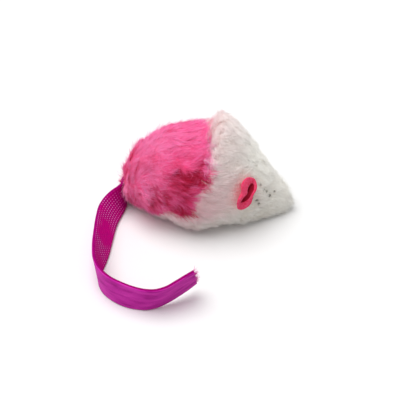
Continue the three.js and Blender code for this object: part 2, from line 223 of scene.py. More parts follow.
pink_fur = fur_material(
    "pink_fur",
    [(0.0, (0.97, 0.16, 0.44)), (0.4, (0.985, 0.23, 0.55)), (1.0, (0.992, 0.36, 0.68))],
    [(0.0, (0.99, 0.85, 0.92)), (1.0, (1, 1, 1))],
    # Lock ramp: its dark end is painted shade of folds and of the hollow by the waist
    [(0.0, (0.6, 0.02, 0.09)), (0.4, (0.92, 0.36, 0.52)), (0.7, (0.98, 0.83, 0.9)), (1.0, (1, 1, 1))],
    (0.99, 0.52, 0.8),
    0.2,
)
white_fur = fur_material(
    "white_fur",
    [(0.0, (0.985, 0.967, 0.93)), (0.4, (0.994, 0.987, 0.96)), (1.0, (0.998, 0.994, 0.975))],
    [(0.0, (0.993, 0.991, 0.99)), (1.0, (1, 1, 1))],
    # Lock ramp: its near-black end is painted shade of partings
    [(0.0, (0.1, 0.1, 0.07)), (0.25, (0.96, 0.94, 0.92)), (0.6, (0.99, 0.985, 0.975)), (1.0, (1, 1, 1))],
    # Blush colour, used for a pink tint on the crest and for a painted pink reflection near the waist
    (0.99, 0.75, 0.8),
    0.1,
)
pink_backing = speckled("pink_backing", (0.9, 0.12, 0.36), (0.97, 0.2, 0.48), 900, 0.95)
white_backing = speckled("white_backing", (0.9, 0.87, 0.83), (0.97, 0.95, 0.92), 900, 0.95)
stuffing = speckled("stuffing", (0.78, 0.77, 0.73), (0.9, 0.89, 0.86), 500, 1.0, 0.8, 0.0006)
pouch_cotton = speckled("pouch_cotton", (0.7, 0.66, 0.56), (0.84, 0.8, 0.7), 1400, 0.9)
leaf = speckled("dried_leaf", (0.09, 0.12, 0.03), (0.3, 0.34, 0.13), 700, 1.0, 0.9, 0.0006)
white_cotton = speckled("white_cotton_thread", (0.66, 0.62, 0.55), (0.86, 0.83, 0.77), 2500, 0.7)
pink_cotton = speckled("pink_cotton_thread", (0.55, 0.03, 0.18), (0.78, 0.09, 0.3), 2500, 0.7)

# Body: the same surface as the solid plush panels
RUMP_LENGTH = 25.4
HEAD_LENGTH = 34.2
RUMP_WIDTH = 40.6
RUMP_HEIGHT = 31.2
RUMP_TIP_HEIGHT = 8.4
CREST_WIDTH = 40.2
CREST_HEIGHT = 36
NOSE_WIDTH = 3.8
NOSE_TIP_WIDTH = 1.9
NOSE_HEIGHT = 6.6
WIDEST_HEIGHT = 13
WAIST_LEAN = 5.6
BELLY_CUT = 0.5
WAIST_X = -4.4
RUMP_POWER = 2.05
UNDERSIDE_SHARE = 0.6
SWELL_SHARE = 0.12
TAPER_POWER = 1.24
NOSE_CAP_SHARE = 0.88
NOSE_TIP_SHARE = 0.2
NOSE_MIDDLE_SHARE = 0.45
LOWER_POWER = 0.6


# Half width, top, bottom, height of the widest place and lean, at distances ahead of the waist.
def outline_at(ahead):
    along = np.clip(1 + ahead / RUMP_LENGTH, 0, 1)
    swollen = (1 - (1 - along) ** RUMP_POWER) ** (1 / RUMP_POWER)
    under = np.minimum(1, along / UNDERSIDE_SHARE)
    flat = np.sqrt(1 - (1 - under) ** 2)
    rump = (
        RUMP_WIDTH / 2 * swollen,
        mix(RUMP_TIP_HEIGHT, RUMP_HEIGHT, swollen),
        mix(RUMP_TIP_HEIGHT, -BELLY_CUT, flat),
        mix(RUMP_TIP_HEIGHT, WIDEST_HEIGHT, swollen),
        WAIST_LEAN * eased(along),
    )
    share = np.clip(ahead / HEAD_LENGTH, 0, 1)
    swell = eased(np.minimum(share / SWELL_SHARE, 1))
    past = np.clip((share - SWELL_SHARE) / (1 - SWELL_SHARE), 0, 1)
    taper = 1 - past**TAPER_POWER
    beyond = np.clip((past - NOSE_CAP_SHARE) / (1 - NOSE_CAP_SHARE), 0, 1)
    cap = mix(NOSE_TIP_SHARE, 1, np.sqrt(1 - beyond**2))
    widest = mix(WIDEST_HEIGHT, NOSE_MIDDLE_SHARE * NOSE_HEIGHT, past)
    crest = mix(NOSE_HEIGHT, CREST_HEIGHT, taper)
    head = (
        mix(RUMP_WIDTH, mix(NOSE_WIDTH, CREST_WIDTH, taper), swell) / 2 * cap,
        mix(widest, mix(RUMP_HEIGHT, crest, swell), cap),
        mix(widest, -BELLY_CUT, cap),
        widest,
        WAIST_LEAN * (1 - share),
    )
    return [np.where(ahead < 0, a, b) for a, b in zip(rump, head)]


# Points of the surface at an inset below it; a turn of 0 is to the left and a quarter turn up.
def body_points(ahead, turn, inset=0.0):
    half, top, bottom, widest, lean = outline_at(ahead)
    across, up = np.cos(turn), np.sin(turn)
    below = up < 0
    power = np.where(below, LOWER_POWER, 1)
    reach = np.maximum(half - inset, NOSE_TIP_WIDTH / 2)
    y = reach * np.sign(across) * np.abs(across) ** power
    rise = np.maximum(top - inset - widest, 0)
    floor = np.maximum(bottom, 0) + inset if inset > 0 else bottom
    drop = np.maximum(widest - floor, 0)
    z = widest + np.where(below, -drop, rise) * np.abs(up) ** power
    z = np.maximum(z, 0)
    return np.stack([WAIST_X + ahead + lean * z / CREST_HEIGHT, y, z], axis=-1)


# A grid of surface points from the rump's tip to the nose, and its faces.
def body_grid(inset, rump_rings, head_rings, around):
    rump = -RUMP_LENGTH * np.cos(np.linspace(0, math.pi / 2, rump_rings, endpoint=False))
    share = np.linspace(0, 1, head_rings + 1)
    head = HEAD_LENGTH * np.sin(share * math.pi / 2) ** (2 - share)
    ahead = np.concatenate([rump, head])
    turn = np.linspace(0, 2 * math.pi, around, endpoint=False)
    points = body_points(ahead[:, None], turn[None, :], inset)
    rings = len(ahead)
    i, j = np.meshgrid(np.arange(rings - 1), np.arange(around), indexing="ij")
    k = (j + 1) % around
    quads = np.stack([i * around + j, (i + 1) * around + j, (i + 1) * around + k, i * around + k], -1)
    return points.reshape(-1, 3), quads.reshape(-1, 4)


# The sewn body as it sags: drawn in near the floor, and dipped on top behind the waist and at the
# rear. A dip has a place along the body, a length, a depth, and a height that it starts from.
DRAWN_IN_AT = [-26, -22, -13, -8, -1, 3, 9, 15]
DRAWN_IN_BY = [0.15, 0.22, 0.2, 0.05, 0, 0.1, 0.1, 0.02]
DRAWN_IN_HEIGHT = 10
DRAWN_IN_FADE = 6
DIPS = [(-7, 5.5, 1.3, 20), (-20, 6, 0.9, 14)]
DIP_FADE = 8


def settled(points):
    points = points.copy()
    x, z = points[..., 0], points[..., 2].copy()
    share = np.interp(x, DRAWN_IN_AT, DRAWN_IN_BY)
    points[..., 1] *= 1 - share * eased(np.clip((DRAWN_IN_HEIGHT - z) / DRAWN_IN_FADE, 0, 1))
    for place, length, depth, start in DIPS:
        dip = depth * np.exp(-(((x - place) / length) ** 2))
        points[..., 2] -= dip * np.clip((z - start) / DIP_FADE, 0, 1)
    return points


# The waist plane: how far a point lies ahead of it.
def ahead_of_waist(points):
    angle = math.atan2(WAIST_LEAN, CREST_HEIGHT)
    return (points[:, 0] - WAIST_X) * math.cos(angle) - points[:, 2] * math.sin(angle)


# Backing cloth of the plush, just below the fur, in its sewn panels
BACKING_INSET = 1.1
BACKING_THICKNESS = 0.9
BELLY_SEAM_HEIGHT = 3.35
WAIST_STEP_MIDDLE = 2
WAIST_STEP_LENGTH = 2.4
WAIST_STEP_INSET = 0.06
skin_points, skin_quads = body_grid(BACKING_INSET, 44, 60, 96)
past_waist = (ahead_of_waist(skin_points) - WAIST_STEP_MIDDLE) / WAIST_STEP_LENGTH
skin_points *= 1 - np.array([0, 1, 1]) * WAIST_STEP_INSET * np.exp(-(past_waist**2))[:, None]
skin_points = settled(skin_points)
quad_middles = skin_points[skin_quads].mean(axis=1)
in_belly = quad_middles[:, 2] < BELLY_SEAM_HEIGHT
in_head = ahead_of_waist(quad_middles) > 0


def backing(name, chosen, material, nodes):
    quads = skin_quads[chosen]
    used, faces = np.unique(quads, return_inverse=True)
    obj = mesh_object(name, skin_points[used], faces.reshape(-1, 4), [material])
    thick = obj.modifiers.new("thickness", "SOLIDIFY")
    thick.thickness = BACKING_THICKNESS * MM
    thick.offset = -1
    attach(obj, "mouse")
    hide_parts(*nodes)


backing(
    "rump_backing",
    ~in_belly & ~in_head,
    pink_backing,
    ["rump_cover_left", "rump_cover_right"],
)
backing(
    "head_backing",
    ~in_belly & in_head,
    white_backing,
    ["head_cover_left", "head_cover_right"],
)
backing("belly_backing", in_belly, white_backing, ["belly_panel"])


# The stuffing and the seam threads settle with the cloth that they lie in.
def settled_piece(node, name, material):
    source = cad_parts[node]
    mesh = source.data
    points = [source.matrix_world @ vertex.co / MM for vertex in mesh.vertices]
    faces = [tuple(polygon.vertices) for polygon in mesh.polygons]
    obj = mesh_object(name, settled(np.array(points)), faces, [material])
    obj.data.shade_flat()
    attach(obj, "mouse")
    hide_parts(node)


settled_piece("rump_fibre_fill", "rump_stuffing", stuffing)
settled_piece("head_fibre_fill", "head_stuffing", stuffing)
settled_piece("back_seam_thread", "back_seam_stitching", white_cotton)
settled_piece("waist_seam_thread", "waist_seam_stitching", white_cotton)
settled_piece("belly_seam_thread", "belly_seam_stitching", white_cotton)
settled_piece("closing_stitches", "hand_closing_stitching", white_cotton)

# Surface that the fur grows on: its four-cornered faces, their crossed diagonals and areas
BODY_MIDDLE = np.array([0, 0, 12])
surface_points, surface_quads = body_grid(0.0, 60, 90, 180)
surface_tree = BVHTree.FromPolygons(surface_points.tolist(), surface_quads.tolist())
quad_corners = [surface_points[surface_quads[:, i]] for i in range(4)]
quad_crossed = np.cross(quad_corners[2] - quad_corners[0], quad_corners[3] - quad_corners[1])
quad_areas = np.linalg.norm(quad_crossed, axis=1) / 2


# Normals at points, turned round where they point into the body.
def turned_outward(normals, points):
    facing = np.sum(normals * (points - BODY_MIDDLE), axis=1)
    normals[facing < 0] *= -1
    return normals


# The nearest places of the surface to points, with their normals.
def on_surface(points):
    places = np.empty_like(points)
    normals = np.empty_like(points)
    for i, point in enumerate(points):
        place, normal, _, _ = surface_tree.find_nearest(Vector(point))
        places[i] = place
        normals[i] = normal
    return places, turned_outward(normals, places)


# Points spread evenly at random over the surface, with their normals.
def scatter(count):
    chosen = dice.choice(len(quad_areas), count, p=quad_areas / quad_areas.sum())
    s, t = dice.random((2, count, 1))
    a, b, c, d = (corners[chosen] for corners in quad_corners)
    points = mix(mix(a, b, s), mix(d, c, s), t)
    return points, turned_outward(unit(quad_crossed[chosen]), points)


# A smooth random value over space, between about -1 and 1, from a few waves.
WAVE_COUNT = 7
WAVE_SUM_SIZE = 2.6


def waves(seed, wavelength):
    own = np.random.default_rng(seed)
    directions = unit(own.normal(size=(WAVE_COUNT, 3))) * 2 * math.pi / wavelength
    directions *= own.uniform(0.6, 1.6, (WAVE_COUNT, 1))
    phases = own.uniform(0, 2 * math.pi, WAVE_COUNT)

    def value(points):
        return np.sin(points @ directions.T + phases).sum(axis=1) / WAVE_SUM_SIZE

    return value


# Fur: each strand is a line of a few segments, rooted below the surface
SEGMENTS = 4
ROOT_DEPTH = 1.2
HEADING = np.array([1.0, 0.0, -0.3])
REAR_HEADING_UP = 0.6
REAR_X = -16
REAR_FADE = 8
NOSE_X = 27
NOSE_FADE = 2
NOSE_LOOSENESS = 0.8
RISE_POWER = 0.8


# Which way the fur lies at each point: to the nose and a little down, but up at the rear, and
# turned aside by a swirl, in radians.
def flow(points, normals, swirl):
    heading = np.tile(HEADING, (len(points), 1))
    heading[:, 2] *= np.clip(1 - np.abs(normals[:, 2]), 0, 1)
    heading[:, 2] += REAR_HEADING_UP * np.clip((REAR_X - points[:, 0]) / REAR_FADE, 0, 1)
    heading -= normals * np.sum(heading * normals, axis=1, keepdims=True)
    heading = unit(heading)
    side = np.cross(normals, heading)
    return heading * np.cos(swirl)[:, None] + side * np.sin(swirl)[:, None]


# Guides: one line in the middle of each lock, from its root below the surface to its tip.
def grow_guides(roots, normals, lengths, rises, swirls):
    lines = [roots - normals * ROOT_DEPTH]
    at, up = roots, normals
    for i in range(1, SEGMENTS + 1):
        share = i / SEGMENTS
        loose = at + flow(at, up, swirls) * (lengths / SEGMENTS)[:, None]
        at, up = on_surface(loose)
        past_nose = np.clip((loose[:, :1] - NOSE_X) / NOSE_FADE, 0, NOSE_LOOSENESS)
        at = mix(at, loose, past_nose)
        height = rises * share**RISE_POWER
        lines.append(at + up * height[:, None])
    return np.stack(lines, axis=1)


# Thin points so that none is nearer to another than a spacing.
def spaced(points, spacing):
    kept = []
    cells = {}
    keys = np.floor(points / spacing).astype(int)
    around = [(i, j, k) for i in (-1, 0, 1) for j in (-1, 0, 1) for k in (-1, 0, 1)]
    for index, (point, key) in enumerate(zip(points, keys)):
        near = [q for step in around for q in cells.get(tuple(key + step), ())]
        if all(np.dot(point - q, point - q) > spacing**2 for q in near):
            cells.setdefault(tuple(key), []).append(point)
            kept.append(index)
    return np.array(kept)


# Which fur is pink: its tips end by the waist seam, and above the white belly's fur. How far
# ahead of the waist they may end depends on their height. Past the ridge, on the left, the
# crest's white fur is swept back over the rump. The white belly's fur rises from rear to front.
PILE_REACH = 3.5
PINK_LIMIT_HEIGHTS = [12, 18, 22, 25, 28, 30, 32, 34]
PINK_LIMITS = [0.6, 1.6, 3.2, 4.2, 4.6, 3.6, 2.0, 0.5]
SWEPT_BACK_AT = [-4, 3.5, 8, 13]
SWEPT_BACK_BY = [0, 1.5, 4.5, 6.5]
SWEPT_BACK_HEIGHT = 20
SWEPT_BACK_FADE = 6
BELLY_FUR_HEIGHT = 2.4
BELLY_FUR_RISE = 8.2
BELLY_FUR_RISE_X = -19
BELLY_FUR_RISE_LENGTH = 9


def is_pink(roots, normals, mingling=0.0):
    tips = roots + PILE_REACH * flow(roots, normals, np.zeros(len(roots)))
    limit = np.interp(tips[:, 2], PINK_LIMIT_HEIGHTS, PINK_LIMITS)
    swept = np.interp(tips[:, 1], SWEPT_BACK_AT, SWEPT_BACK_BY)
    limit = limit - swept * np.clip((tips[:, 2] - SWEPT_BACK_HEIGHT) / SWEPT_BACK_FADE, 0, 1)
    risen = eased(np.clip((tips[:, 0] - BELLY_FUR_RISE_X) / BELLY_FUR_RISE_LENGTH, 0, 1))
    low = BELLY_FUR_HEIGHT + BELLY_FUR_RISE * risen
    return (ahead_of_waist(tips) < limit + mingling) & (tips[:, 2] > low + mingling)


# Lengths and rises of the locks: pink, white by the waist, and white at the nose
CHEEK_X = 5
GUIDE_TRIES = 9000
GUIDE_SPACING = 1.9
LOCK_LENGTHS = (6.5, 5.0, 3.3)
LOCK_RISES = (0.7, 0.9, 0.6)
LOCK_LENGTH_SPREAD = (0.75, 1.2)
UNDERSIDE_SHORTENING = 0.5
# Values for pink fur and for white fur are pairs, in that order
WAVY_LIFT = (0.8, 0.45)
RANDOM_LIFT = (0.45, 0.25)
PINK_TOP_FLATTENING = 0.7
SWIRL = 0.4
RANDOM_SWIRL = 0.28
# The pile stands up round the tail's root and covers where the ribbon leaves the seam
TAIL_ROOT = np.array([-29.6, -1, 6])
ROOT_FLUFF = 1.1
ROOT_FLUFF_REACH = 5.5
turning = waves(3, 14)
lifting = waves(5, 6)
guide_points, guide_normals = scatter(GUIDE_TRIES)
chosen = spaced(guide_points, GUIDE_SPACING)
guide_points, guide_normals = guide_points[chosen], guide_normals[chosen]
guide_count = len(guide_points)
guide_pink = is_pink(guide_points, guide_normals)
nose_share = np.clip((guide_points[:, 0] - CHEEK_X) / (NOSE_X - CHEEK_X), 0, 1)
guide_lengths = np.where(guide_pink, LOCK_LENGTHS[0], mix(*LOCK_LENGTHS[1:], nose_share))
guide_lengths = guide_lengths * dice.uniform(*LOCK_LENGTH_SPREAD, guide_count)
guide_lengths *= mix(1, UNDERSIDE_SHORTENING, np.clip(-guide_normals[:, 2], 0, 1))
guide_rises = np.where(guide_pink, LOCK_RISES[0], mix(*LOCK_RISES[1:], nose_share))
lifted = np.where(guide_pink, *WAVY_LIFT) * lifting(guide_points)
guide_rises = guide_rises * (1 + lifted) + dice.exponential(np.where(guide_pink, *RANDOM_LIFT))
on_top = np.clip((guide_normals[:, 2] - 0.5) / 0.3, 0, 1)
guide_rises = np.where(guide_pink, guide_rises - PINK_TOP_FLATTENING * on_top, guide_rises)
from_tail = np.linalg.norm(guide_points - TAIL_ROOT, axis=1)
guide_rises += ROOT_FLUFF * np.exp(-((from_tail / ROOT_FLUFF_REACH) ** 2))
guide_swirls = SWIRL * turning(guide_points) + dice.normal(0, RANDOM_SWIRL, guide_count)
guide_lines = grow_guides(guide_points, guide_normals, guide_lengths, guide_rises, guide_swirls)
guide_tones = dice.random(guide_count)
guide_tree = KDTree(guide_count)
for i, point in enumerate(guide_points):
    guide_tree.insert(point, i)
guide_tree.balance()

# Strands follow the nearest guides, and are drawn together towards the tip
NEAREST_GUIDES = 3
NEARNESS_SOFTENING = 0.05
CLUMP_POWER = 1.4
STRAY_POWER = 1.5
STRAY_UPWARD = 0.6
FLOOR_CLEARANCE = 0.12
FLOOR_CLEARANCE_SPREAD = 0.3


# Lines of strands from their roots, and the tone of each one's nearest lock.
def strands_from(roots, normals, clump, shorten, stray):
    count = len(roots)
    nearest = np.zeros((count, NEAREST_GUIDES), int)
    weights = np.zeros((count, NEAREST_GUIDES))
    for i, point in enumerate(roots):
        for j, (_, index, distance) in enumerate(guide_tree.find_n(point, NEAREST_GUIDES)):
            nearest[i, j] = index
            weights[i, j] = 1 / (distance**2 + NEARNESS_SOFTENING) ** 2
    weights /= weights.sum(axis=1, keepdims=True)
    base = roots - normals * ROOT_DEPTH
    share = np.linspace(0, 1, SEGMENTS + 1)
    drawn = 1 - clump[:, None] * share[None, :] ** CLUMP_POWER
    lines = np.zeros((count, SEGMENTS + 1, 3))
    for j in range(NEAREST_GUIDES):
        guides = guide_lines[nearest[:, j]]
        offset = base - guides[:, 0]
        lines += weights[:, j, None, None] * (guides + offset[:, None, :] * drawn[:, :, None])
    step = share[None, :] * shorten[:, None] * SEGMENTS
    first = np.minimum(step.astype(int), SEGMENTS - 1)
    part = (step - first)[:, :, None]
    rows = np.arange(count)[:, None]
    lines = mix(lines[rows, first], lines[rows, first + 1], part)
    side = np.cross(normals, unit(lines[:, -1] - lines[:, 0]))
    sideways = dice.normal(0, 1, count)[:, None, None] * side[:, None, :]
    upward = np.abs(dice.normal(0, 1, count))[:, None, None] * normals[:, None, :]
    strayed = (stray[:, None] * share[None, :] ** STRAY_POWER)[:, :, None]
    lines += (sideways + STRAY_UPWARD * upward) * strayed
    lowest = FLOOR_CLEARANCE + dice.random(count)[:, None] * FLOOR_CLEARANCE_SPREAD
    lines[:, :, 2] = np.maximum(lines[:, :, 2], lowest)
    return lines, guide_tones[nearest[:, 0]]


STRAND_SIDES = 3
STRAND_TAPER = 0.55
STRAND_RANDOM_TURN = 0.4


# Closed three-sided tapering strands as one mesh, with their tones for the material. Lock tones, with
# the fur's painted shade in them, are given for each point of each strand, and a blush, with the painted
# pink reflection in it, for each strand.
def strand_object(name, lines, widths, lock_tones_and_shade, ups, material, blush_and_reflection=0.0):
    count, nodes, _ = lines.shape
    rings = nodes - 1
    sides = STRAND_SIDES
    along = unit(np.gradient(lines, axis=1))
    loose = ups + dice.normal(0, STRAND_RANDOM_TURN, ups.shape)
    side = unit(np.cross(along, loose[:, None, :]))
    other = np.cross(along, side)
    share = np.linspace(0, 1, nodes)[:rings]
    radius = widths[:, None] / 2 * (1 - STRAND_TAPER * share[None, :])
    corners = []
    for corner in range(sides):
        turn = 2 * math.pi * corner / sides
        offset = math.cos(turn) * side[:, :rings] + math.sin(turn) * other[:, :rings]
        corners.append(lines[:, :rings] + offset * radius[:, :, None])
    points = np.stack(corners, axis=2).reshape(count, rings * sides, 3)
    points = np.concatenate([points, lines[:, -1:]], axis=1)
    per_strand = rings * sides + 1
    quads = []
    for ring in range(rings - 1):
        for corner in range(sides):
            a, b = ring * sides + corner, ring * sides + (corner + 1) % sides
            quads.append([a, b, b + sides, a + sides])
    last, tip = (rings - 1) * sides, rings * sides
    triangles = [[last + c, last + (c + 1) % sides, tip] for c in range(sides)] + [[0, 2, 1]]
    start = np.arange(count)[:, None, None] * per_strand
    quads = (np.array(quads)[None] + start).reshape(-1)
    triangles = (np.array(triangles)[None] + start).reshape(-1)
    quad_count, triangle_count = len(quads) // 4, len(triangles) // 3
    loops = np.concatenate([quads, triangles]).astype(np.int32)
    starts = np.concatenate(
        [np.arange(quad_count) * 4, len(quads) + np.arange(triangle_count) * 3]
    ).astype(np.int32)
    mesh = bpy.data.meshes.new(name)
    mesh.vertices.add(count * per_strand)
    mesh.vertices.foreach_set("co", (points.reshape(-1) * MM).astype(np.float32))
    mesh.loops.add(len(loops))
    mesh.loops.foreach_set("vertex_index", loops)
    mesh.polygons.add(len(starts))
    mesh.polygons.foreach_set("loop_start", starts)
    tone = mesh.attributes.new("tone", "FLOAT_COLOR", "POINT")
    ring_tones = np.repeat(lock_tones_and_shade[:, :rings], sides, axis=1)
    values = np.ones((count, per_strand, 4), np.float32)
    values[:, :, 0] = np.append(np.repeat(share, sides), 1.0)[None, :]
    values[:, :, 1] = dice.random(count)[:, None]
    values[:, :, 2] = np.hstack([ring_tones, lock_tones_and_shade[:, -1:]])
    values[:, :, 3] = np.broadcast_to(blush_and_reflection, count)[:, None]
    tone.data.foreach_set("color", values.reshape(-1))
    mesh.materials.append(material)
    mesh.update(calc_edges=True)
    mesh.validate()
    mesh.shade_flat()
    return placed(name, mesh)


# Each ear's side, how far it is raised round the body in degrees, and how far it is pressed flat
EARS = {"ear_left": (1, 12, (0.8, 0.86, 0.62)), "ear_right": (-1, 26, (1, 1, 1))}
EAR_FORWARD = 16.6
EAR_LENGTH = 12.1
EAR_NECK_HEIGHT = 2.1
EAR_SEAT_GAP = 0.3
SURFACE_STEP = 0.5


# An ear's foot and its short, long and outward directions, as in the solid: its long way runs up
# the cheek, and its opening faces out.
def ear_place(side, raised):
    turn = math.pi - math.radians(raised)
    ahead = EAR_FORWARD + np.array([0, SURFACE_STEP, 0])
    turns = turn - np.array([0, 0, SURFACE_STEP / EAR_LENGTH])
    foot, forward, higher = body_points(ahead, turns)
    forward, higher = unit(forward - foot), higher - foot
    out = unit(np.cross(higher, forward))
    out *= -np.sign(out[1])
    long = unit(np.cross(out, forward))
    long *= np.sign(long[2])
    foot = foot + out * (EAR_SEAT_GAP - EAR_NECK_HEIGHT)
    foot, long, out = np.array([foot, long, out]) * (1, -side, 1)
    short = np.cross(long, out)
    # Rounded, so that the last digits of a sum move no strand of the fur beside the ear
    return np.round(foot, 3), np.round(short, 4), np.round(long, 5), np.round(out, 4)


EAR_PLACES = {name: ear_place(side, raised) for name, (side, raised, _) in EARS.items()}

# Strands to the square millimetre of surface, and what shapes them. Pairs of values or of ranges
# are for pink fur and for white fur.
FUR_DENSITY = 17
UNDERSIDE_SHARE_KEPT = 0.35
MINGLING_HEIGHTS = [12, 22, 29]
MINGLING = [0.4, 0.5, 1.1]
CLUMPING = ((0.35, 0.8), (0.1, 0.5))
SHORTENING = ((0.6, 1.0), (0.55, 1.0))
FUZZ_SHARE = 0.2
STRAY = (0.35, 0.25)
FUZZ_STRAY = (1.5, 1.1)
FUZZ_STRAY_SHARE = 0.6
NOSE_STRAY = 1.6
NOSE_STRAY_X = 24
CREST_STRAY = 1.4
CREST_STRAY_HEIGHT = 28
STRAND_WIDTHS = ((0.11, 0.2), (0.1, 0.17))
FUZZ_WIDTH_SHARE = 0.55
roots, normals = scatter(int(quad_areas.sum() * FUR_DENSITY))
flat_under = (roots[:, 2] < 0.3) & (normals[:, 2] < -0.8)
kept = ~flat_under | (dice.random(len(roots)) < UNDERSIDE_SHARE_KEPT)
roots, normals = roots[kept], normals[kept]
count = len(roots)
mingling = np.interp(roots[:, 2], MINGLING_HEIGHTS, MINGLING)
pink = is_pink(roots, normals, dice.normal(0, mingling, count))


# A random value for each strand, from the range for its colour.
def drawn_by_colour(ranges):
    return np.where(pink, *(dice.uniform(low, high, count) for low, high in ranges))


clump = drawn_by_colour(CLUMPING)
shorten = drawn_by_colour(SHORTENING)
fuzzy = dice.random(count) < FUZZ_SHARE
stray = np.where(pink, *STRAY) * dice.exponential(1.0, count)
stray = np.where(fuzzy, np.where(pink, *FUZZ_STRAY) + FUZZ_STRAY_SHARE * stray, stray)
at_nose = roots[:, 0] > NOSE_STRAY_X
on_crest = ~pink & (roots[:, 2] > CREST_STRAY_HEIGHT) & (roots[:, 0] < CHEEK_X)
stray *= np.where(at_nose, NOSE_STRAY, 1)
stray *= np.where(on_crest, CREST_STRAY, 1)
clump = np.where(fuzzy, 0, clump)
lines, lock_tones_and_shade = strands_from(roots, normals, clump, shorten, stray)
widths = drawn_by_colour(STRAND_WIDTHS)
widths = np.where(fuzzy, FUZZ_WIDTH_SHARE * widths, widths)

# Painted pink reflection of the rump's fur on the white fur near the waist, strongest at middle heights;
# the white crest by the seam is tinted pink, and the rump's rear and top are paler
PINK_REFLECTION_REACH = 14
PINK_REFLECTION_HEIGHTS = [6, 12, 22, 28]
PINK_REFLECTION = [0.15, 0.9, 0.8, 0.4]
CREST_PINK_TINT = 0.8
CREST_PINK_TINT_REACH = 7
PALE_REAR = 0.6
PALE_REAR_X = -12
PALE_REAR_FADE = 11
PALE_CREST_REACH = 4
HIGH_FROM = 24
HIGH_FADE = 5
BLUSH_SPREAD = (0.4, 1)
ahead = ahead_of_waist(roots)
high = np.clip((roots[:, 2] - HIGH_FROM) / HIGH_FADE, 0, 1)
pink_reflection_and_crest_tint = np.clip(1 - ahead / PINK_REFLECTION_REACH, 0, 1)
pink_reflection_and_crest_tint *= np.interp(roots[:, 2], PINK_REFLECTION_HEIGHTS, PINK_REFLECTION)
pink_reflection_and_crest_tint = np.maximum(pink_reflection_and_crest_tint, high * np.clip(CREST_PINK_TINT - ahead / CREST_PINK_TINT_REACH, 0, 1))
pale_rear = PALE_REAR * np.clip((PALE_REAR_X - roots[:, 0]) / PALE_REAR_FADE, 0, 1)
pale_crest = high * np.clip((ahead + PALE_CREST_REACH) / PALE_CREST_REACH, 0, 1)
blush_and_reflection = np.where(pink, np.maximum(pale_rear, pale_crest), pink_reflection_and_crest_tint)
blush_and_reflection *= dice.uniform(*BLUSH_SPREAD, count)

# The crest's fur stands up in a tuft that leans back over the rump.
TUFT_MIDDLE = 1.5
TUFT_LENGTH = 3
TUFT_HEIGHT = 30
TUFT_FADE = 3
TUFT_SPREAD = (0.1, 1.4)
TUFT_LEAN = np.array([-1.1, 0, 0.4])
tuft = np.exp(-(((ahead - TUFT_MIDDLE) / TUFT_LENGTH) ** 2))
tuft = np.where(pink, 0, tuft * np.clip((roots[:, 2] - TUFT_HEIGHT) / TUFT_FADE, 0, 1))
tuft *= dice.uniform(*TUFT_SPREAD, count)
along_strand = np.linspace(0, 1, SEGMENTS + 1) ** STRAY_POWER
lines += tuft[:, None, None] * along_strand[None, :, None] * TUFT_LEAN

# Painted shade in folds: locks are painted darker where the pile parts, and most in the hollow by the
# waist and along the flank, in streaks. Both sides of the body have the same hollow.
HOLLOW = np.array([-6.0, 16.5, 23.5])
HOLLOW_SIZE = np.array([9.0, 5.5, 5.5])
FLANK_HEIGHT = 14.5
FLANK_SIZE = 4.5
FLANK_DEPTH = 0.7
FLANK_REAR_X = -21
SMOOTH_FOLD_SHARE = 0.35
STREAK_STRETCH = np.array([0.25, 1, 1])
STREAK_LEVEL = 0.7
STREAK_SIZE = 0.6
STREAK_MOST = 1.3
LOCK_DARKNESS = (0.35, 0.2)
PAINTED_FOLD_SHADE = (0.3, 0.15)
PAINTED_HOLLOW_SHADE = (1.25, 0.15)
DARKEST_TONE = 0.05
mirrored = lines.copy()
mirrored[..., 1] = np.abs(mirrored[..., 1])
smooth = (roots[:, 0] < -12) | (roots[:, 2] > 25)
fold_shade = np.maximum(waves(9, 10)(roots), 0) * np.where(smooth, SMOOTH_FOLD_SHARE, 1)
streak_shade = STREAK_LEVEL + STREAK_SIZE * waves(13, 2.4)(roots * STREAK_STRETCH)
streak_shade = np.clip(streak_shade, 0, STREAK_MOST)
hollow_shade = np.exp(-(((mirrored[:, 0] - HOLLOW) / HOLLOW_SIZE) ** 2).sum(axis=1))
flank_shade = FLANK_DEPTH * np.exp(-(((roots[:, 2] - FLANK_HEIGHT) / FLANK_SIZE) ** 2))
flank_shade *= roots[:, 0] > FLANK_REAR_X
hollow_shade = np.maximum(hollow_shade, flank_shade) * streak_shade
lock_tones_and_shade = 1 - np.where(pink, *LOCK_DARKNESS) * lock_tones_and_shade
# Painted shade of folds, the hollow and the flank, on top of the locks' own random tone
lock_tones_and_shade -= np.where(pink, *PAINTED_FOLD_SHADE) * fold_shade
lock_tones_and_shade -= np.where(pink, *PAINTED_HOLLOW_SHADE) * hollow_shade
lock_tones_and_shade = np.clip(lock_tones_and_shade, DARKEST_TONE, 1)
lock_tones_and_shade = np.repeat(lock_tones_and_shade[:, None], SEGMENTS + 1, axis=1)

# Painted shade of small partings ahead of the ear, at the pixels of the photograph that show them: the
# strands there are painted dark. Both cheeks have the same.
PHOTO_SIZE = 400
PARTING_PIXELS = [
    (260, 185),
    (263.5, 189.5),
    (266.5, 191.5),
    (269.5, 195.5),
    (274, 191.5),
    (256.5, 200),
    (258.5, 203),
    (251.5, 198),
]
PARTING_SIZE = 0.85
PARTING_MIDDLE = 0.6 * PARTING_SIZE
PARTING_LIFT = 0.65


# The place in the pile, a lift before the body's surface, that a pixel of the photograph shows.
def place_shown(column, row):
    middle = PHOTO_SIZE / 2
    pixel = CAMERA_SENSOR_WIDTH / PHOTO_SIZE
    ray = Vector(((column - middle) * pixel, (middle - row) * pixel, -CAMERA_LENS))
    ray.rotate(towards_camera.to_track_quat("Z", "Y"))
    eye = (CAMERA_TARGET + towards_camera * CAMERA_DISTANCE) / MM
    place, _, _, _ = surface_tree.ray_cast(eye, ray)
    return np.array(place - ray.normalized() * PARTING_LIFT)


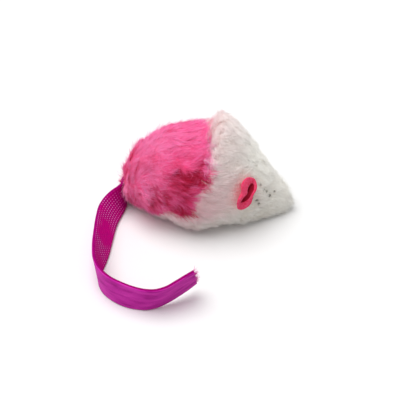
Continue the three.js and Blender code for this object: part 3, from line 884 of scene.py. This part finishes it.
# Painted shade: strands near each parting are painted dark
for column, row in PARTING_PIXELS:
    away = np.linalg.norm(mirrored - np.abs(place_shown(column, row)), axis=-1)
    lock_tones_and_shade = np.minimum(lock_tones_and_shade, np.clip((away - PARTING_MIDDLE) / PARTING_SIZE, 0, 1))
lines = settled(lines)

# No fur grows through the ears' slots.
EAR_GROVE_WIDTH = 2.2
EAR_GROVE_LENGTH = 5
EAR_GROVE_HEIGHT = 0.2
clear = np.ones(count, bool)
for foot, *directions in EAR_PLACES.values():
    away = (lines - foot) @ np.array(directions).T
    within = (away[..., 0] / EAR_GROVE_WIDTH) ** 2 + (away[..., 1] / EAR_GROVE_LENGTH) ** 2 < 1
    clear &= ~(within & (away[..., 2] > EAR_GROVE_HEIGHT)).any(axis=1)

STRANDS_PER_PIECE = 9000
for label, chosen, material, slot in (
    ("rump_fur", pink & clear, pink_fur, "pink_plush"),
    ("head_fur", ~pink & clear, white_fur, "white_plush"),
):
    members = np.flatnonzero(chosen)
    pieces = max(1, math.ceil(len(members) / STRANDS_PER_PIECE))
    for number, part in enumerate(np.array_split(members, pieces)):
        name = f"{label}_{number + 1}"
        obj = strand_object(
            name,
            lines[part],
            widths[part],
            lock_tones_and_shade[part],
            normals[part],
            material,
            blush_and_reflection[part],
        )
        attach(obj, "mouse")

# Ribbon tail: its centre line with the upper edge's lean and rake in degrees, as in the solid
RIBBON_WIDTH = 10
RIBBON_THICKNESS = 1.2
RIBBON_ROUTE = [
    (-31, 0, 5.4, 0, 0),
    (-30.8, -2.4, 5.4, 1, 4),
    (-30.3, -4.7, 5.3, 4, 10),
    (-30.6, -6.9, 5.2, 12, 13),
    (-31.6, -9.1, 5, 22, 11),
    (-32.7, -11.6, 4.7, 31, 7),
    (-33.5, -14.4, 4.5, 36, 2),
    (-33.9, -17.1, 4.5, 37, -2),
    (-33.9, -20.3, 4.5, 35, -3),
    (-33.7, -24.5, 4.6, 33, -4),
    (-33.4, -28.6, 4.7, 30, -3),
    (-33.1, -32.7, 4.8, 27, -2),
    (-32.9, -36.6, 4.9, 22, -1),
    (-32.7, -40.4, 5.1, 14, -1),
    (-32.2, -44, 5.1, 8, -1),
    (-30.9, -47.7, 5.1, 3, -2),
    (-28.6, -51, 5.1, 0, -2),
    (-25.4, -53.6, 5.1, -1, -1),
    (-21.6, -55.5, 5.1, -2, -1),
    (-17.6, -56.7, 5.1, 1, -2),
    (-13.6, -57.1, 5.2, 6, -3),
    (-9.9, -56.4, 5.5, 12, -8),
    (-6.6, -54.7, 6.1, 15, -12),
    (-3.6, -52.5, 7, 15, -15),
    (-1, -50.5, 7.9, 16, -16),
    (1.4, -48.6, 8.8, 19, -17),
]
RIBBON_STEPS = 260
ACROSS_STEPS = 20
GATHER_DEPTH = 2.2
GATHER_LENGTH = 5


# A smooth curve through points, spaced by the square root of their distances.
def smooth_curve(points, shares):
    points = np.asarray(points, float)
    before = 2 * points[0] - points[1]
    after = 2 * points[-1] - points[-2]
    points = np.vstack([before, points, after])
    spans = len(points) - 3
    places = np.clip(np.asarray(shares) * spans, 0, spans - 1e-9)
    found = []
    for place in places:
        i = int(place)
        t = place - i
        p = points[i : i + 4]
        gaps = np.maximum(np.linalg.norm(np.diff(p, axis=0), axis=1) ** 0.5, 1e-4)
        first = (p[1] - p[0]) / gaps[0] - (p[2] - p[0]) / (gaps[0] + gaps[1])
        first = (first + (p[2] - p[1]) / gaps[1]) * gaps[1]
        second = (p[2] - p[1]) / gaps[1] - (p[3] - p[1]) / (gaps[1] + gaps[2])
        second = (second + (p[3] - p[2]) / gaps[2]) * gaps[1]
        cubic = 2 * p[1] - 2 * p[2] + first + second
        square = -3 * p[1] + 3 * p[2] - 2 * first - second
        found.append(p[1] + first * t + square * t**2 + cubic * t**3)
    return np.array(found)


def ribbon_edges(shares):
    route = np.array(RIBBON_ROUTE, float)
    centres = route[:, :3]
    run = np.gradient(centres, axis=0)
    run[:, 2] = 0
    run = unit(run)
    outward = np.stack([run[:, 1], -run[:, 0], np.zeros(len(run))], axis=1)
    lean, rake = np.radians(route[:, 3:4]), np.radians(route[:, 4:5])
    upward = np.array([0, 0, 1]) * np.cos(lean) + outward * np.sin(lean)
    upward = upward * np.cos(rake) + run * np.sin(rake)
    half = RIBBON_WIDTH / 2
    return (
        smooth_curve(centres - upward * half, shares),
        smooth_curve(centres + upward * half, shares),
    )


shares = np.linspace(0, 1, RIBBON_STEPS + 1)
low_edge, high_edge = ribbon_edges(shares)
centre_line = (low_edge + high_edge) / 2
print("ribbon length", np.linalg.norm(np.diff(centre_line, axis=0), axis=1).sum())

# The sewn end before the root: out of the seam, then folded round to the first run
SEWN_ROUTE = [(-27.4, 0), (-28.6, 0), (-29.7, 0), (-30.4, -0.08), (-30.8, -0.35), (-30.95, -0.8)]
SEWN_HEIGHT = 5.4
FIRST_RUN_Y = -1.3
half_width, half_thick = RIBBON_WIDTH / 2, RIBBON_THICKNESS / 2
sewn = np.array([(x, y, SEWN_HEIGHT) for x, y in SEWN_ROUTE])
keep = centre_line[:, 1] < FIRST_RUN_Y
low_edge = np.vstack([sewn - (0, 0, half_width), low_edge[keep]])
high_edge = np.vstack([sewn + (0, 0, half_width), high_edge[keep]])

# The ribbon is gathered to a narrower width where the seam grips it
from_root = np.cumsum(np.linalg.norm(np.diff(low_edge, axis=0, prepend=low_edge[:1]), axis=1))
gather = GATHER_DEPTH * np.exp(-((from_root / GATHER_LENGTH) ** 2))
high_edge = high_edge - unit(high_edge - low_edge) * gather[:, None]
widths_along = np.linalg.norm(high_edge - low_edge, axis=1) / RIBBON_WIDTH
ribbon_centres = (low_edge + high_edge) / 2
ribbon_runs = unit(np.gradient(ribbon_centres, axis=0))
ribbon_ups = unit(high_edge - low_edge)
ribbon_faces = unit(np.cross(ribbon_runs, ribbon_ups))
ribbon_ups = np.cross(ribbon_faces, ribbon_runs)
distance = np.concatenate([[0], np.cumsum(np.linalg.norm(np.diff(ribbon_centres, axis=0), axis=1))])

# Section: a woven band with a thick velvet pile on its outer face and a bare woven inner face
EDGE_ROUND = 0.25
EDGE_TUCK = 0.05
EDGE_DROP = 0.3
RIBBON_LOWEST = 0.03
tucked, dropped = half_width - EDGE_TUCK, half_thick - EDGE_DROP
section = []
for i in range(ACROSS_STEPS + 1):
    a = mix(half_width - EDGE_ROUND, EDGE_ROUND - half_width, i / ACROSS_STEPS)
    section.append((a, half_thick, "velvet"))
section.append((-tucked, dropped, "velvet"))
section.append((-half_width, 0, "woven"))
section.append((-tucked, -dropped, "woven"))
for i in range(ACROSS_STEPS + 1):
    a = mix(EDGE_ROUND - half_width, half_width - EDGE_ROUND, i / ACROSS_STEPS)
    section.append((a, -half_thick, "woven"))
section.append((tucked, -dropped, "edge"))
section.append((half_width, 0, "edge"))
section.append((tucked, dropped, "edge"))
around = len(section)
points = []
for centre, up, face, narrowing in zip(ribbon_centres, ribbon_ups, ribbon_faces, widths_along):
    for a, b, _ in section:
        points.append(centre + up * a * narrowing + face * b)
points = np.array(points)
points[:, 2] = np.maximum(points[:, 2], RIBBON_LOWEST)
faces = tube_faces(len(ribbon_centres), around)

# The ribbon's material at each face: a run between two kinds takes the first of them in the list
RIBBON_MATERIALS = {"velvet": 0, "woven": 1, "edge": 2}
side_kinds = []
for here, there in zip(section, section[1:] + section[:1]):
    kind = next(word for word in ("velvet", "edge", "woven") if word in (here[2], there[2]))
    side_kinds.append(RIBBON_MATERIALS[kind])
kinds = side_kinds * (len(ribbon_centres) - 1) + [RIBBON_MATERIALS["edge"]] * 2


# Velvet pile: soft, deep magenta with a sheen and slow changes of tone where it is brushed.
def velvet_material():
    nodes = Nodes("velvet_pile", 0.9, sheen=0.25, sheen_tint=(1.0, 0.35, 0.85), specular=0.1)
    brushed = nodes.add("ShaderNodeMapping")
    brushed.inputs["Rotation"].default_value = (0, 0, math.radians(-24))
    brushed.inputs["Scale"].default_value = (0.12, 0.6, 1)
    nodes.link(nodes.add("ShaderNodeUVMap", uv_map="ribbon").outputs["UV"], brushed.inputs["Vector"])
    strokes = nodes.noise(1.0, 3, brushed.outputs["Vector"])
    strokes = nodes.ramp(
        strokes,
        [(0.32, (0.5, 0.008, 0.3)), (0.45, (0.68, 0.022, 0.43)), (0.68, (0.84, 0.05, 0.54))],
    )
    grain = nodes.ramp(nodes.noise(5200, 2), [(0.35, (0.8, 0.75, 0.8)), (0.65, (1, 1, 1))])
    nodes.colour(nodes.blend(1.0, strokes, grain, "MULTIPLY"))
    nodes.bump(nodes.noise(4200, 2), 0.5, 0.0002)
    return nodes.material


RIBS_PER_MM = 0.95


# Woven face: fine ribs with rows of lighter stitches, laid out along and across the ribbon. At the
# gathered root it has painted shade: it is darker there and has no lighter stitches there.
def woven_material():
    nodes = Nodes("woven_back", 0.8, specular=0.03)
    grid = nodes.add("ShaderNodeUVMap", uv_map="ribbon").outputs["UV"]
    split = nodes.add("ShaderNodeSeparateXYZ")
    nodes.link(grid, split.inputs["Vector"])
    ribs = []
    for socket in ("X", "Y"):
        turn = nodes.math("MULTIPLY", split.outputs[socket], 2 * math.pi * RIBS_PER_MM)
        ribs.append(nodes.math("MULTIPLY_ADD", nodes.math("SINE", turn), 0.5, 0.5))
    dots = nodes.math("POWER", nodes.math("MULTIPLY", *ribs), 2.2)
    ground = nodes.ramp(dots, [(0.05, (0.6, 0.001, 0.23)), (0.8, (0.75, 0.008, 0.35))])
    bright = nodes.ramp(dots, [(0.15, (0.5, 0.001, 0.21)), (0.65, (0.98, 0.3, 0.78))])
    worn_and_shaded = nodes.ramp(nodes.noise(130, 1), [(0.42, (0, 0, 0)), (0.62, (1, 1, 1))])
    from_seam = nodes.math("MULTIPLY", split.outputs["X"], 0.05)
    # Painted shade: no lighter stitches near the root
    seen = nodes.ramp(from_seam, [(0.56, (0, 0, 0)), (0.72, (1, 1, 1))])
    worn_and_shaded = nodes.blend(1.0, worn_and_shaded, seen, "MULTIPLY")
    colour = nodes.blend(worn_and_shaded, ground, bright)
    # Painted shade: darker towards the root
    root_shade = nodes.ramp(from_seam, [(0.35, (0.5, 0.35, 0.6)), (0.8, (1, 1, 1))])
    nodes.colour(nodes.blend(1.0, colour, root_shade, "MULTIPLY"))
    nodes.bump(dots, 0.6, 0.0001)
    return nodes.material


# Cut pile along the ribbon's edges, which looks deeper in colour.
def selvage_material():
    nodes = Nodes("ribbon_selvage", 0.9, specular=0.0)
    nodes.colour(nodes.ramp(nodes.noise(2200), [(0.3, (0.28, 0.001, 0.12)), (0.7, (0.4, 0.004, 0.19))]))
    return nodes.material


velvet = velvet_material()
woven = woven_material()
selvage = selvage_material()
floss = speckled("ribbon_floss", (0.55, 0.01, 0.26), (0.9, 0.16, 0.55), 1800, 0.8)
ribbon = mesh_object("tail_velvet_ribbon", points, faces, [velvet, woven, selvage], kinds)
uv = ribbon.data.uv_layers.new(name="ribbon")
across = np.array([a for a, _, _ in section])
corner_points = np.zeros(len(ribbon.data.loops), int)
ribbon.data.loops.foreach_get("vertex_index", corner_points)
uv_values = np.stack([distance[corner_points // around], across[corner_points % around]], axis=1)
uv.data.foreach_set("uv", uv_values.reshape(-1))
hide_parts("tail_ribbon", "tail_tab")

# Frayed threads at the cut end
FRAY_COUNT = 60
FRAY_BURIED = 0.4
FRAY_REACH = (0.5, 1.9)
FRAY_SWAY_UP = 0.35
FRAY_SWAY_OUT = 0.3
FRAY_WIDTHS = (0.12, 0.22)
end_centre, end_run = ribbon_centres[-1], ribbon_runs[-1]
end_up, end_face = ribbon_ups[-1], ribbon_faces[-1]
fray_lines = []
for _ in range(FRAY_COUNT):
    a = dice.uniform(-half_width, half_width)
    b = dice.uniform(-half_thick, half_thick)
    start = end_centre + end_up * a + end_face * b - end_run * FRAY_BURIED
    length = dice.uniform(*FRAY_REACH) + FRAY_BURIED
    sway = end_up * dice.normal(0, FRAY_SWAY_UP) + end_face * dice.normal(0, FRAY_SWAY_OUT)
    for s in np.linspace(0, 1, SEGMENTS + 1):
        fray_lines.append(start + (end_run * s + sway * s * s) * length)
fray = strand_object(
    "tail_frayed_threads",
    np.array(fray_lines).reshape(FRAY_COUNT, SEGMENTS + 1, 3),
    dice.uniform(*FRAY_WIDTHS, FRAY_COUNT),
    dice.random((FRAY_COUNT, SEGMENTS + 1)),
    np.tile(end_face, (FRAY_COUNT, 1)),
    floss,
)
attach(fray, "tail")

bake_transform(ribbon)

# Ears: folded and pinched loops of thick felt, each in a frame of its own on the cheek
EAR_WIDTH = 6.5
EAR_HEIGHT = 3.8
EAR_END_DROP = 1.6
EAR_REAR_SPREAD = 1.6
EAR_LOWER_LOBE_BACK = 0.5
EAR_SLOT_NARROWING = 0.65
EAR_SLOT_SLANT = 1.5
EAR_SLOT_FORWARD = 0.5
EAR_SLOT_SHORTENING = 1.35
EAR_SLOT_UP = 0.6
EAR_FELT = 1.7
EAR_SLOT_DEPTH = 4.6
EAR_NECK_LENGTH = 6.4
EAR_NECK_WIDTH = 1.3
EAR_NARROWEST = 0.12
EAR_PINCH = 0.38
EAR_PINCH_SIZE = 0.35
EAR_UPPER_LOBE = 0.8
EAR_SQUARENESS = 0.8
EAR_RIM_ROUND = 0.45
EAR_AROUND = 96
NECK_RINGS = 4
OUTER_RINGS = 12
RIM_RINGS = 9
SLOT_RINGS = 10


# A ring of the ear in its own frame, at a height, set in from the outside by a wall. The upper
# lobe spreads to the rear, and the slot between the walls runs slantwise.
def ear_ring(height, wall):
    flare = max(0.0, (height - EAR_NECK_HEIGHT) / EAR_HEIGHT)
    opened = math.sin(min(1.0, flare) * math.pi / 2)
    long = mix(EAR_NECK_LENGTH, EAR_LENGTH, opened) / 2
    short = mix(EAR_NECK_WIDTH, EAR_WIDTH, opened) / 2
    inset = min(wall, short - EAR_NARROWEST)
    turn = np.linspace(0, 2 * math.pi, EAR_AROUND, endpoint=False)
    c, s = np.cos(turn), np.sin(turn)
    inner = inset / short
    pinch = 1 - EAR_PINCH * opened * np.exp(-((s / EAR_PINCH_SIZE) ** 2))
    rear = mix(1, EAR_REAR_SPREAD, opened * (1 - inner) * np.clip(EAR_UPPER_LOBE + s, 0, 1))
    x = (short * pinch * np.where(c < 0, rear, 1) - inset * np.minimum(1, pinch)) * np.sign(c)
    x = x * np.abs(c) ** EAR_SQUARENESS * mix(1, EAR_SLOT_NARROWING, inner)
    x = x + inner * opened * (EAR_SLOT_SLANT * s + EAR_SLOT_FORWARD)
    x = x + opened * EAR_LOWER_LOBE_BACK * np.minimum(s, 0)
    y = (long - EAR_SLOT_SHORTENING * inset) * s + EAR_SLOT_UP * inner * opened
    z = height - EAR_END_DROP * flare * s**2
    return np.stack([x, y, z], axis=1)


# Rings up the neck and the outside, over the round rim, and down into the slot.
def ear_rings():
    top = EAR_NECK_HEIGHT + EAR_HEIGHT - EAR_RIM_ROUND
    rings = [ear_ring(h, 0) for h in np.linspace(0, EAR_NECK_HEIGHT, NECK_RINGS)]
    rings += [ear_ring(h, 0) for h in np.linspace(EAR_NECK_HEIGHT, top, OUTER_RINGS)[1:]]
    for turn in np.linspace(0, math.pi, RIM_RINGS)[1:-1]:
        wall = EAR_FELT / 2 * (1 - math.cos(turn))
        rings.append(ear_ring(top + EAR_RIM_ROUND * math.sin(turn), wall))
    for share in np.linspace(0, 1, SLOT_RINGS):
        wall = mix(EAR_FELT, EAR_WIDTH / 2, share**2)
        rings.append(ear_ring(top - (EAR_SLOT_DEPTH - EAR_RIM_ROUND) * share, wall))
    return rings


def felt_material(name, dark, light):
    nodes = Nodes(name, 0.95, sheen=0.25, sheen_tint=(1, 0.5, 0.65), specular=0.1)
    nodes.colour(nodes.ramp(nodes.noise(1500, 4), [(0.3, dark), (0.65, light)]))
    nodes.bump(nodes.noise(2600, 4), 0.6, 0.0002)
    return nodes.material


felt = felt_material("coral_felt", (0.9, 0.03, 0.11), (0.99, 0.1, 0.23))
# The same felt with painted shade, for the deep, narrow slot
shaded_slot_felt = felt_material("coral_felt_shaded_inside", (0.36, 0.003, 0.022), (0.5, 0.01, 0.045))


def ear(name):
    foot, *directions = EAR_PLACES[name]
    _, _, pressed = EARS[name]
    rings = np.stack(ear_rings()) * pressed
    points = foot + rings.reshape(-1, 3) @ np.array(directions)
    count = len(rings)
    faces = tube_faces(count, EAR_AROUND)
    # The slot's rings take the felt with painted shade
    kinds = [int(i >= count - SLOT_RINGS) for i in range(count - 1) for _ in range(EAR_AROUND)]
    obj = mesh_object(name + "_felt", points, faces, [felt, shaded_slot_felt], kinds + [0, 1])
    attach(obj, name)
    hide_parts(name)


for name in EAR_PLACES:
    ear(name)

# Finishes of the solids that stay
for node, material in (
    ("catnip_pouch_rear", pouch_cotton),
    ("catnip_pouch_front", pouch_cotton),
    ("dried_catnip", leaf),
    ("tail_bar_tack", pink_cotton),
    ("ear_tack_left", white_cotton),
    ("ear_tack_right", white_cotton),
):
    for material_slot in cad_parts[node].material_slots:
        material_slot.material = material


# Floor: plain and white to the camera, and keeping the shadow
FLOOR_REACH = 1500
FLOOR_TONE = 0.6
FLOOR_TONE_TO_CAMERA = 0.91


def floor_material():
    nodes = Nodes("floor", 0.9, specular=0.0)
    seen = nodes.add("ShaderNodeLightPath").outputs["Is Camera Ray"]
    nodes.colour(nodes.blend(seen, (FLOOR_TONE,) * 3, (FLOOR_TONE_TO_CAMERA,) * 3))
    return nodes.material


floor_corners = [(x * FLOOR_REACH, y * FLOOR_REACH, 0) for x, y in ((-1, -1), (1, -1), (1, 1), (-1, 1))]
floor = mesh_object("floor", floor_corners, [(0, 1, 2, 3)], [floor_material()])

# Light: a soft sky, which looks brighter to the camera than it shines, and one broad lamp from
# above and a little to the rear
SKY_STRENGTH = 0.44
SKY_STRENGTH_TO_CAMERA = 1.0
LAMP_STRENGTH = 2.45
LAMP_BREADTH = 60
TOWARDS_LAMP = Vector((-0.3, 0.07, 1.0))
world = bpy.data.worlds.new("studio")
world.use_nodes = True
bpy.context.scene.world = world
tree = world.node_tree
background = tree.nodes["Background"]
background.inputs["Color"].default_value = (1, 1, 1, 1)
path = tree.nodes.new("ShaderNodeLightPath")
strength = tree.nodes.new("ShaderNodeMix")
strength.inputs[2].default_value = SKY_STRENGTH
strength.inputs[3].default_value = SKY_STRENGTH_TO_CAMERA
tree.links.new(path.outputs["Is Camera Ray"], strength.inputs[0])
tree.links.new(strength.outputs[0], background.inputs["Strength"])
lamp_data = bpy.data.lights.new("window", "SUN")
lamp_data.energy = LAMP_STRENGTH
lamp_data.angle = math.radians(LAMP_BREADTH)
lamp = placed("window", lamp_data)
lamp.rotation_euler = TOWARDS_LAMP.to_track_quat("Z", "Y").to_euler()

# Plain view, with enough bounces for light to pass through the deep, pale fur
bpy.context.scene.view_settings.view_transform = "Standard"
bpy.context.scene.cycles.max_bounces = 24
bpy.context.scene.cycles.diffuse_bounces = 20
